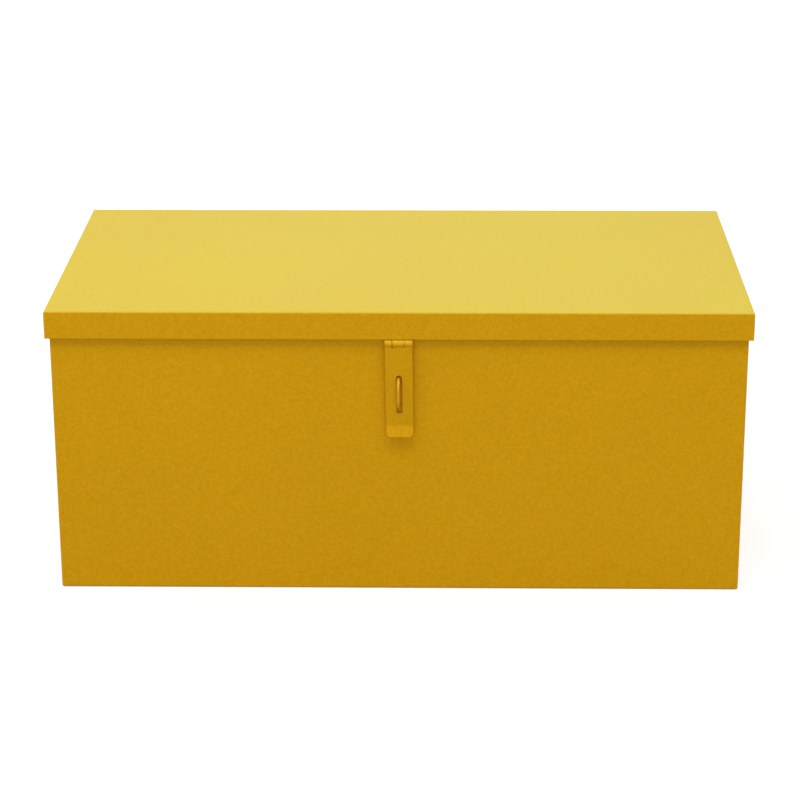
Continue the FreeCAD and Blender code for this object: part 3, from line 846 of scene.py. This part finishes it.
# Rivets: four in each handle plate, of zinc plated steel, with a button head set on both sides of the sheet.
# The setting tool leaves a small dimple in the middle of each head.
rivet_shank = 0.0025
rivet_head = 0.0045
rivet_height = 0.0022
rivet_y = 0.042
rivet_z = 0.013
rivet_sides = 28
dome_share = 0.85
dimple_rim = 0.00015
dimple_depth = 0.0001
zinc_base = (0.40, 0.41, 0.42, 1)
zinc_light = (0.54, 0.55, 0.56, 1)
zinc_bloom = (0.47, 0.45, 0.39, 1)

# Zinc: soft crystal patches, fine draw lines and a thin yellowish bloom
bloom_scale = 35.0
bloom_band = (0.45, 0.75)
bloom_share = 0.5
line_scale = 2400.0
line_stretch = (1.0, 1.0, 0.02)
line_strength = 0.25
line_depth = 0.00005
zinc_dullness = (0.3, 0.46)
scuff_scale = 300.0
scuff_polish = 0.12
zinc_skin, zinc_in, zinc_out = new_group("zinc_skin", {"patch_scale": 260.0}, ("patch", "bloom", "line"))
zinc_point = add_node(zinc_skin, "TexCoord").outputs["Object"]
zinc_cells = add_node(zinc_skin, "TexVoronoi", {"Randomness": 1.0})
zinc_skin.links.new(zinc_point, zinc_cells.inputs["Vector"])
zinc_skin.links.new(zinc_in["patch_scale"], zinc_cells.inputs["Scale"])
zinc_tint = add_node(zinc_skin, "SeparateColor")
zinc_skin.links.new(zinc_cells.outputs["Color"], zinc_tint.inputs[0])
zinc_skin.links.new(zinc_tint.outputs[0], zinc_out["patch"])
zinc_clouds = noise(zinc_skin, zinc_point, bloom_scale, detail=3.0)
zinc_skin.links.new(ranged(zinc_skin, zinc_clouds, *bloom_band), zinc_out["bloom"])
zinc_stretch = add_node(zinc_skin, "Mapping", {"Scale": line_stretch})
zinc_skin.links.new(zinc_point, zinc_stretch.inputs["Vector"])
zinc_lines = noise(zinc_skin, zinc_stretch.outputs["Vector"], line_scale, detail=2.0)
zinc_skin.links.new(zinc_lines, zinc_out["line"])


def zinc_plate(name, scuff_cover):
    """Bright zinc plate on steel, with its edges rubbed brighter."""
    material, tree, shader = new_material(name)
    shader.inputs["Metallic"].default_value = 1.0
    skin = place_group(tree, zinc_skin)
    scuff = place_group(tree, rubbed_edge, cover=scuff_cover, patch_scale=scuff_scale)["mask"]
    colour = mixed(tree, skin["patch"], zinc_base, zinc_light)
    colour = mixed(tree, mathed(tree, "MULTIPLY", skin["bloom"], bloom_share), colour, zinc_bloom)
    tree.links.new(mixed(tree, scuff, colour, zinc_light), shader.inputs["Base Color"])
    dull = ranged(tree, skin["bloom"], 0.0, 1.0, *zinc_dullness)
    polish = mathed(tree, "MULTIPLY", scuff, scuff_polish)
    tree.links.new(mathed(tree, "SUBTRACT", dull, polish), shader.inputs["Roughness"])
    roughen(tree, shader, skin["line"], line_strength, line_depth)
    return material


def turned(name, radius, x0, x1, y, z, dome=0.0):
    """A round disc or shank along X, with a dome on its far face that the setting tool dimples."""
    low, high = sorted((x0, x1))
    bpy.ops.object.select_all(action="DESELECT")
    bpy.ops.mesh.primitive_cylinder_add(
        vertices=rivet_sides, radius=radius, depth=high - low, location=((low + high) / 2, y, z),
        rotation=(0, quarter_turn, 0))
    piece = settle(name)
    if dome:
        pick(piece, "FACE", lambda p, n: near(p.x, x1))
        turns = [quarter_turn * step / round_steps for step in range(round_steps)]
        for a, b in zip(turns, turns[1:]):
            bpy.ops.mesh.inset(
                thickness=radius * (math.cos(a) - math.cos(b)), depth=dome * (math.sin(b) - math.sin(a)))
        bpy.ops.mesh.inset(thickness=dimple_rim, depth=-dimple_depth)
    bpy.ops.object.mode_set(mode="OBJECT")
    return piece


def set_rivet(name, shank, head, height, x_in, x_out, y, z):
    """A rivet along X with a button head on each side."""
    dome = dome_share * height
    rim = height - dome
    rivet = joined(
        name, turned("shank", shank, x_in, x_out, y, z),
        turned("outer_head", head, x_out, x_out + rim, y, z, dome),
        turned("inner_head", head, x_in, x_in - rim, y, z, dome))
    bpy.ops.object.shade_smooth_by_angle(angle=smooth_angle)
    return rivet


def copies_at(master, name, places):
    """Copies a piece to each place and turn, joins the copies and throws the first one away."""
    made = []
    for point, turn in places:
        choose(master)
        bpy.ops.object.duplicate()
        copy = bpy.context.object
        copy.location = point
        copy.rotation_euler = turn
        bpy.ops.object.transform_apply(location=True, rotation=True, scale=True)
        made.append(copy)
    bpy.data.objects.remove(master)
    return joined(name, *made)


zinc_steel = zinc_plate("zinc_steel", scuff_cover=0.5)
rivet = set_rivet(
    "rivet", rivet_shank, rivet_head, rivet_height, panel_high.x - sheet, plate_face, 0, handle_z)
handle_rivets = copies_at(
    rivet, "right_handle_rivet_set",
    [((0, sy * rivet_y, sz * rivet_z), (0, 0, 0)) for sy in (-1, 1) for sz in (-1, 1)])
place_pair(handle_rivets, "handle_rivet_set", ("box", "box"), zinc_steel, "zinc_steel", "handle_rivets")

# Lid stays: flat zinc plated steel arms, each riveted to a bent bracket that is welded under the lid.
# The arm's slot runs on a shouldered stud in the end panel, and its lower end stops the open lid.
stay_half = 0.008
stay_slot_half = 0.0032
stay_slot_low_z = 0.0593
stay_edge = 0.0003
stud_shank = 0.003
stud_head = 0.006
stud_height = 0.002
spacer_radius = 0.005
slide_gap = 0.0002
stay_y, stay_pivot_z = joint_place("right_stay_turn")[1:]
arm_low, arm_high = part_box("right_stay_arm")
stud_low, stud_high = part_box("right_stay_stud")
stud_z = (stud_low.z + stud_high.z) / 2
arm = start_block("right_stay_arm_strip", arm_low, arm_high)
round_off(arm, "x", stay_half - same_place)
arm_slot = start_block(
    "arm_slot", Vector((arm_low.x - cutter_reach, stay_y - stay_slot_half, stay_slot_low_z)),
    Vector((arm_high.x + cutter_reach, stay_y + stay_slot_half, stud_z + stay_slot_half)))
round_off(arm_slot, "x", stay_slot_half - same_place)
carve(arm, arm_slot)
soften(arm, stay_edge)
place_pair(arm, "stay_arm_strip", ("left_stay", "right_stay"), zinc_steel, "zinc_steel", "stay_arm")

bracket_sheet = 0.002
bracket_bend = 0.0025
bracket_tab_half = 0.009
bracket_low, bracket_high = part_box("right_stay_bracket")
tab_x = bracket_high.x - bracket_sheet / 2
bracket_top_z = bracket_high.z - bracket_sheet / 2
bracket = start_sheet(
    "right_stay_bracket_bent", Vector((bracket_low.x, bracket_low.y, bracket_top_z)),
    Vector((tab_x, bracket_high.y, bracket_top_z)))
for side in (-1, 1):
    cut_line((0, stay_y + side * bracket_tab_half, 0), (0, 1, 0))
pick(bracket, "EDGE", lambda p, d: near(p.x, tab_x) and abs(p.y - stay_y) < bracket_tab_half)
pull(0, 0, bracket_low.z - bracket_top_z)
pick(bracket, "EDGE", lambda p, d: near(p.x, tab_x) and near(p.z, bracket_top_z)
     and abs(p.y - stay_y) < bracket_tab_half)
bpy.ops.mesh.bevel(offset=bracket_bend, segments=bend_steps, affect="EDGES")
pick(bracket, "VERT", lambda p: near(p.z, bracket_low.z))
bpy.ops.mesh.bevel(offset=bracket_tab_half - same_place, segments=round_steps, affect="VERTICES")
thicken(bracket, bracket_sheet)
soften(bracket, stay_edge)
place_pair(bracket, "stay_bracket_bent", ("lid", "lid"), lid_paint, "lid_paint", "stay_bracket")

pivot = set_rivet(
    "right_stay_pivot_rivet", stud_shank, stud_head, stud_height, bracket_high.x - bracket_sheet,
    arm_high.x + slide_gap, stay_y, stay_pivot_z)
place_pair(pivot, "stay_pivot_rivet", ("lid", "lid"), zinc_steel, "zinc_steel", "stay_pivot")
stud = joined(
    "right_stay_stud_rivet",
    set_rivet(
        "stud", stud_shank, stud_head, stud_height, arm_low.x - slide_gap, panel_high.x, stay_y, stud_z),
    turned("spacer", spacer_radius, arm_high.x + slide_gap, panel_high.x - sheet, stay_y, stud_z))
place_pair(stud, "stay_stud_rivet", ("box", "box"), zinc_steel, "zinc_steel", "stay_stud")

# Weld beads: short stitches of overlapping drops, laid where the real box is welded and painted over.
# They lie in the end panels' seams and the lid's corners, and along the hinge, brackets and backing plate.
bead_radius = 0.0013
bead_pitch = 0.0011
bead_voxel = 0.0004
bead_sides = 12
seam_stitch = 0.03
seam_stitch_z = (0.025, 0.105, 0.185, 0.265)
seam_stitch_y = (-0.165, -0.065, 0.035, 0.135)
seam_inset = 0.0009
lid_stitch = 0.02
lid_stitch_rise = 0.004
bracket_stitch = 0.0157
bracket_weld_starts = (0.002, 0.004)
plate_stitch = 0.022
hinge_stitch_x = (-0.33, -0.22, -0.11, 0.0, 0.11, 0.22, 0.31)
along_x = (0, quarter_turn, 0)
along_y = (-quarter_turn, 0, 0)
along_z = (0, 0, 0)


def weld_bead(length):
    """A bead upwards from the origin: a row of drops, melted into one by a remesh."""
    bpy.ops.object.select_all(action="DESELECT")
    bpy.ops.mesh.primitive_uv_sphere_add(segments=bead_sides, ring_count=bead_sides // 2, radius=bead_radius)
    piece = settle("bead")
    bpy.ops.object.mode_set(mode="OBJECT")
    repeat(piece, int(length / bead_pitch), (0, 0, bead_pitch))
    finish_with(piece, "REMESH", mode="VOXEL", voxel_size=bead_voxel)
    choose(piece)
    bpy.ops.object.shade_smooth()
    return piece


def place_welds(name, length, spots, body, finish):
    """Lays beads at their spots, as one piece that rides on a body."""
    welds = copies_at(weld_bead(length), name, spots)
    welds.data.materials.append(finish)
    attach(welds, body)


seam_x = panel_high.x - seam_inset
seam_y = panel_high.y - seam_inset
for side, side_name in ((-1, "left"), (1, "right")):
    upright = [((side * seam_x, sy * seam_y, z), along_z) for sy in (-1, 1) for z in seam_stitch_z]
    level = [((side * seam_x, y, panel_low.z + seam_inset), along_y) for y in seam_stitch_y]
    place_welds(side_name + "_seam_welds", seam_stitch, upright + level, "box", body_paint)
lid_corner_x = lid_high.x - sheet - seam_inset / 2
lid_corner_y = lid_high.y - sheet - seam_inset / 2
lid_weld_z = lid_low.z + lid_stitch_rise
place_welds(
    "lid_corner_welds", lid_stitch,
    [((sx * lid_corner_x, sy * lid_corner_y, lid_weld_z), along_z) for sx in (-1, 1) for sy in (-1, 1)],
    "lid", lid_paint)
bracket_weld_x = (bracket_low.x + bracket_weld_starts[0], -bracket_high.x + bracket_weld_starts[1])
place_welds(
    "bracket_welds", bracket_stitch,
    [((x, stay_y + sy * (bracket_high.y - stay_y), bracket_top_z), along_x)
     for x in bracket_weld_x for sy in (-1, 1)],
    "lid", lid_paint)
backing_weld_y = backing_low.y + seam_inset / 2
place_welds(
    "backing_plate_welds", plate_stitch,
    [((-plate_stitch / 2, backing_weld_y, z), along_x) for z in (backing_low.z, backing_high.z)],
    "box", body_paint)
place_welds(
    "hinge_leaf_welds", plate_stitch,
    [((x, body_leaf_low.y + seam_inset / 2, body_leaf_low.z), along_x) for x in hinge_stitch_x],
    "box", hinge_paint)

# Studio: a white room, its floor taking the shadow. A wide, steep lamp above the front edge lights the lid
# and shades the wall under its lip, a low lamp fills the front, and three more fill the other sides.
white = (1, 1, 1, 1)
ambient = 0.44
floor_size = 60
floor_grey = (0.4, 0.4, 0.4, 1)
floor_roughness = 0.9
floor_mirrored_share = 0.4
floor_glow_reach = (0.6, 2.5)
floor_glow_levels = (0.7, 0.86)
world = bpy.data.worlds.new("studio")
bpy.context.scene.world = world
world.use_nodes = True
sky = world.node_tree
background = sky.nodes["Background"]
sky_path = add_node(sky, "LightPath").outputs
sky_mirrored = mathed(sky, "MAXIMUM", sky_path["Is Glossy Ray"], sky_path["Is Transmission Ray"])
sky_seen = mathed(sky, "MAXIMUM", sky_path["Is Camera Ray"], sky_mirrored)
sky.links.new(ranged(sky, sky_seen, 0.0, 1.0, ambient, 1.0), background.inputs["Strength"])
background.inputs["Color"].default_value = white

bpy.ops.object.select_all(action="DESELECT")
bpy.ops.mesh.primitive_plane_add(size=floor_size, location=(0, 0, 0))
floor = bpy.context.object
floor.name = "studio_floor"
floor_white, floor_tree, floor_shader = new_material("floor_white")
floor_shader.inputs["Base Color"].default_value = floor_grey
floor_shader.inputs["Roughness"].default_value = floor_roughness
floor_shader.inputs["Emission Color"].default_value = white
floor_path = add_node(floor_tree, "LightPath").outputs
floor_mirrored = mathed(floor_tree, "MULTIPLY", floor_path["Is Glossy Ray"], floor_mirrored_share)
floor_direct = mathed(floor_tree, "MAXIMUM", floor_path["Is Camera Ray"], floor_path["Is Transmission Ray"])
floor_seen = mathed(floor_tree, "MAXIMUM", floor_direct, floor_mirrored)
floor_point = add_node(floor_tree, "VectorMath", operation="LENGTH")
floor_tree.links.new(add_node(floor_tree, "TexCoord").outputs["Object"], floor_point.inputs[0])
floor_glow = ranged(floor_tree, floor_point.outputs["Value"], *floor_glow_reach, *floor_glow_levels)
floor_light = mathed(floor_tree, "MULTIPLY", floor_seen, floor_glow)
floor_tree.links.new(floor_light, floor_shader.inputs["Emission Strength"])
floor.data.materials.append(floor_white)


def lamp(name, place_at, aim, width, depth, power, mirrored=True):
    """An oval soft lamp. A fill lamp isn't mirrored, so it leaves no bright patch on the flat sheets."""
    light = bpy.data.lights.new(name, "AREA")
    light.shape = "ELLIPSE"
    light.size = width
    light.size_y = depth
    light.energy = power
    made = bpy.data.objects.new(name, light)
    bpy.context.scene.collection.objects.link(made)
    made.location = place_at
    made.rotation_euler = (aim - place_at).to_track_quat("-Z", "Y").to_euler()
    made.visible_glossy = mirrored


box_middle = Vector((0, 0, 0.2))
back_middle = Vector((0, 0.2, 0.2))
side_fill = {"aim": box_middle, "width": 1.6, "depth": 1.6, "power": 24, "mirrored": False}
lamp("high_lamp", Vector((-0.6, -1.25, 3.0)), Vector((-0.5, -0.1, 0.2)), width=5.0, depth=1.2, power=56)
lamp("front_lamp", Vector((0.0, -4.0, 0.5)), box_middle, width=3.0, depth=3.0, power=43, mirrored=False)
lamp("left_lamp", Vector((-3.0, 1.6, 1.5)), **side_fill)
lamp("right_lamp", Vector((3.0, 1.6, 1.5)), **side_fill)
lamp("back_lamp", Vector((0.0, 4.0, 1.1)), back_middle, width=2.0, depth=2.0, power=50, mirrored=False)

# Camera: a long lens nearly square to the front and somewhat above it, at the photograph's viewing angle.
# Its place, turn and lens were fitted to the box's edges.
camera_sensor = 36
camera_place = Vector((0.05126, -2.80224, 1.16193))
camera_pitch = math.radians(19.796)
camera_yaw = math.radians(-1.096)
camera_roll = math.radians(-0.177)
camera_lens = 113.18
camera_data = bpy.data.cameras.new("camera")
camera_data.lens = camera_lens
camera_data.sensor_width = camera_sensor
camera = bpy.data.objects.new("camera", camera_data)
bpy.context.scene.collection.objects.link(camera)
camera.matrix_world = (
    Matrix.Translation(camera_place) @ Matrix.Rotation(-camera_yaw, 4, "Z")
    @ Matrix.Rotation(quarter_turn - camera_pitch, 4, "X") @ Matrix.Rotation(camera_roll, 4, "Z"))
bpy.context.scene.camera = camera
bpy.context.scene.view_settings.view_transform = "Standard"
